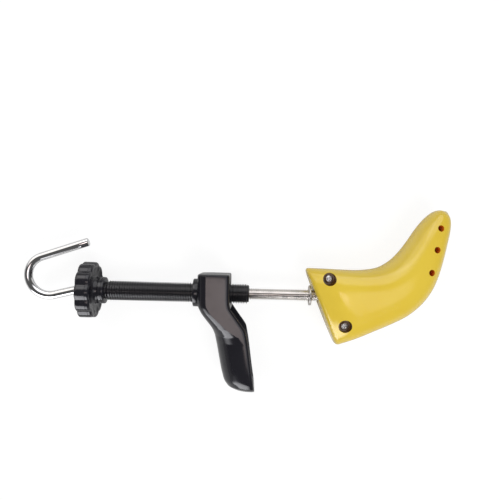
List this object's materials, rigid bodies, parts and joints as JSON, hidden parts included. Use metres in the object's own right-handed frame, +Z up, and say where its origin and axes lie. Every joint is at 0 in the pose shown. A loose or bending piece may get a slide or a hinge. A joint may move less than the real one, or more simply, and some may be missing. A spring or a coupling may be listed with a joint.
{
  "type": "shoe stretcher",
  "caption": "Two-way shoe stretcher: split toe last opened by a hook and threaded rod, heel piece moved along a length screw by a lobed knob.",
  "frame": {"origin": "under the middle of the whole part, on the surface it rests on", "axes": "+X along the rod towards the toe, +Y the way the toe turns up, +Z up, across the width of the last, with the part lying on its side"},
  "size_m": [0.3042, 0.1304, 0.0405],
  "materials": {
    "chrome": "polished",
    "rod_steel": "bright rolled thread",
    "zinc_steel": "zinc plated",
    "spring_steel": "drawn wire",
    "cast_zinc": "as cast",
    "black_plastic": "glossy moulding",
    "black_screw": "semi-gloss moulding",
    "bush_plastic": "smooth",
    "yellow_plastic": "glossy moulding"
  },
  "bodies": {
    "core": {"hinge_pin": "zinc_steel", "rod_bearing": "cast_zinc"},
    "near_half": {"last_near": "yellow_plastic", "closing_screw_upper": "zinc_steel", "closing_screw_lower": "zinc_steel", "closing_nut_upper": "zinc_steel", "closing_nut_lower": "zinc_steel", "spring_washer_upper": "zinc_steel", "spring_washer_lower": "zinc_steel"},
    "far_half": {"last_far": "yellow_plastic", "closing_spring_upper": "spring_steel", "closing_spring_lower": "spring_steel"},
    "spreader": {"spreader_wedge": "cast_zinc"},
    "handle_rod": {"hook_handle": "chrome", "threaded_rod": "rod_steel", "handle_pin": "zinc_steel", "bearing_clip_rear": "zinc_steel", "bearing_clip_front": "zinc_steel", "rod_end_clip": "zinc_steel"},
    "thrust_washer": {"thrust_washer": "zinc_steel"},
    "guide_bush": {"guide_bush": "bush_plastic"},
    "length_screw": {"knob": "black_plastic", "length_screw": "black_screw"},
    "heel": {"heel_piece": "black_plastic", "heel_nut": "black_plastic"}
  },
  "joints": [
    {"name": "hook_turn", "type": "hinge", "parent": "core", "child": "handle_rod", "pos_m": [0.05495, 0.0018, 0.02023], "axis": [1, 0, 0], "range_deg": [0, 2970]},
    {"name": "wedge_travel", "type": "slide", "parent": "core", "child": "spreader", "axis": [-1, 0, 0], "range_m": [0, 0.01032]},
    {"name": "near_open", "type": "hinge", "parent": "core", "child": "near_half", "pos_m": [0.14555, 0.0582, 0.02023], "axis": [-0.5736, 0.8191, 0], "range_deg": [0, 2.4]},
    {"name": "far_open", "type": "hinge", "parent": "core", "child": "far_half", "pos_m": [0.14555, 0.0582, 0.02023], "axis": [0.5736, -0.8191, 0], "range_deg": [0, 2.4], "deforming": ["closing_spring_upper", "closing_spring_lower"]},
    {"name": "heel_swivel", "type": "hinge", "parent": "core", "child": "thrust_washer", "pos_m": [0.05495, 0.0018, 0.02023], "axis": [-1, 0, 0], "continuous": true},
    {"name": "rod_slide", "type": "slide", "parent": "thrust_washer", "child": "guide_bush", "axis": [1, 0, 0], "range_m": [0, 0.0426]},
    {"name": "knob_turn", "type": "hinge", "parent": "guide_bush", "child": "length_screw", "pos_m": [0.05495, 0.0018, 0.02023], "axis": [1, 0, 0], "range_deg": [-2000, 12200]},
    {"name": "heel_travel", "type": "slide", "parent": "guide_bush", "child": "heel", "axis": [-1, 0, 0], "range_m": [-0.0101, 0.0615]}
  ],
  "couplings": [
    {"joint": "wedge_travel", "follows": "hook_turn", "m_per_rad": 0.00019894},
    {"joint": "near_open", "follows": "hook_turn", "ratio": 0.0008},
    {"joint": "far_open", "follows": "hook_turn", "ratio": 0.0008},
    {"joint": "heel_travel", "follows": "knob_turn", "m_per_rad": 0.00028648}
  ]
}
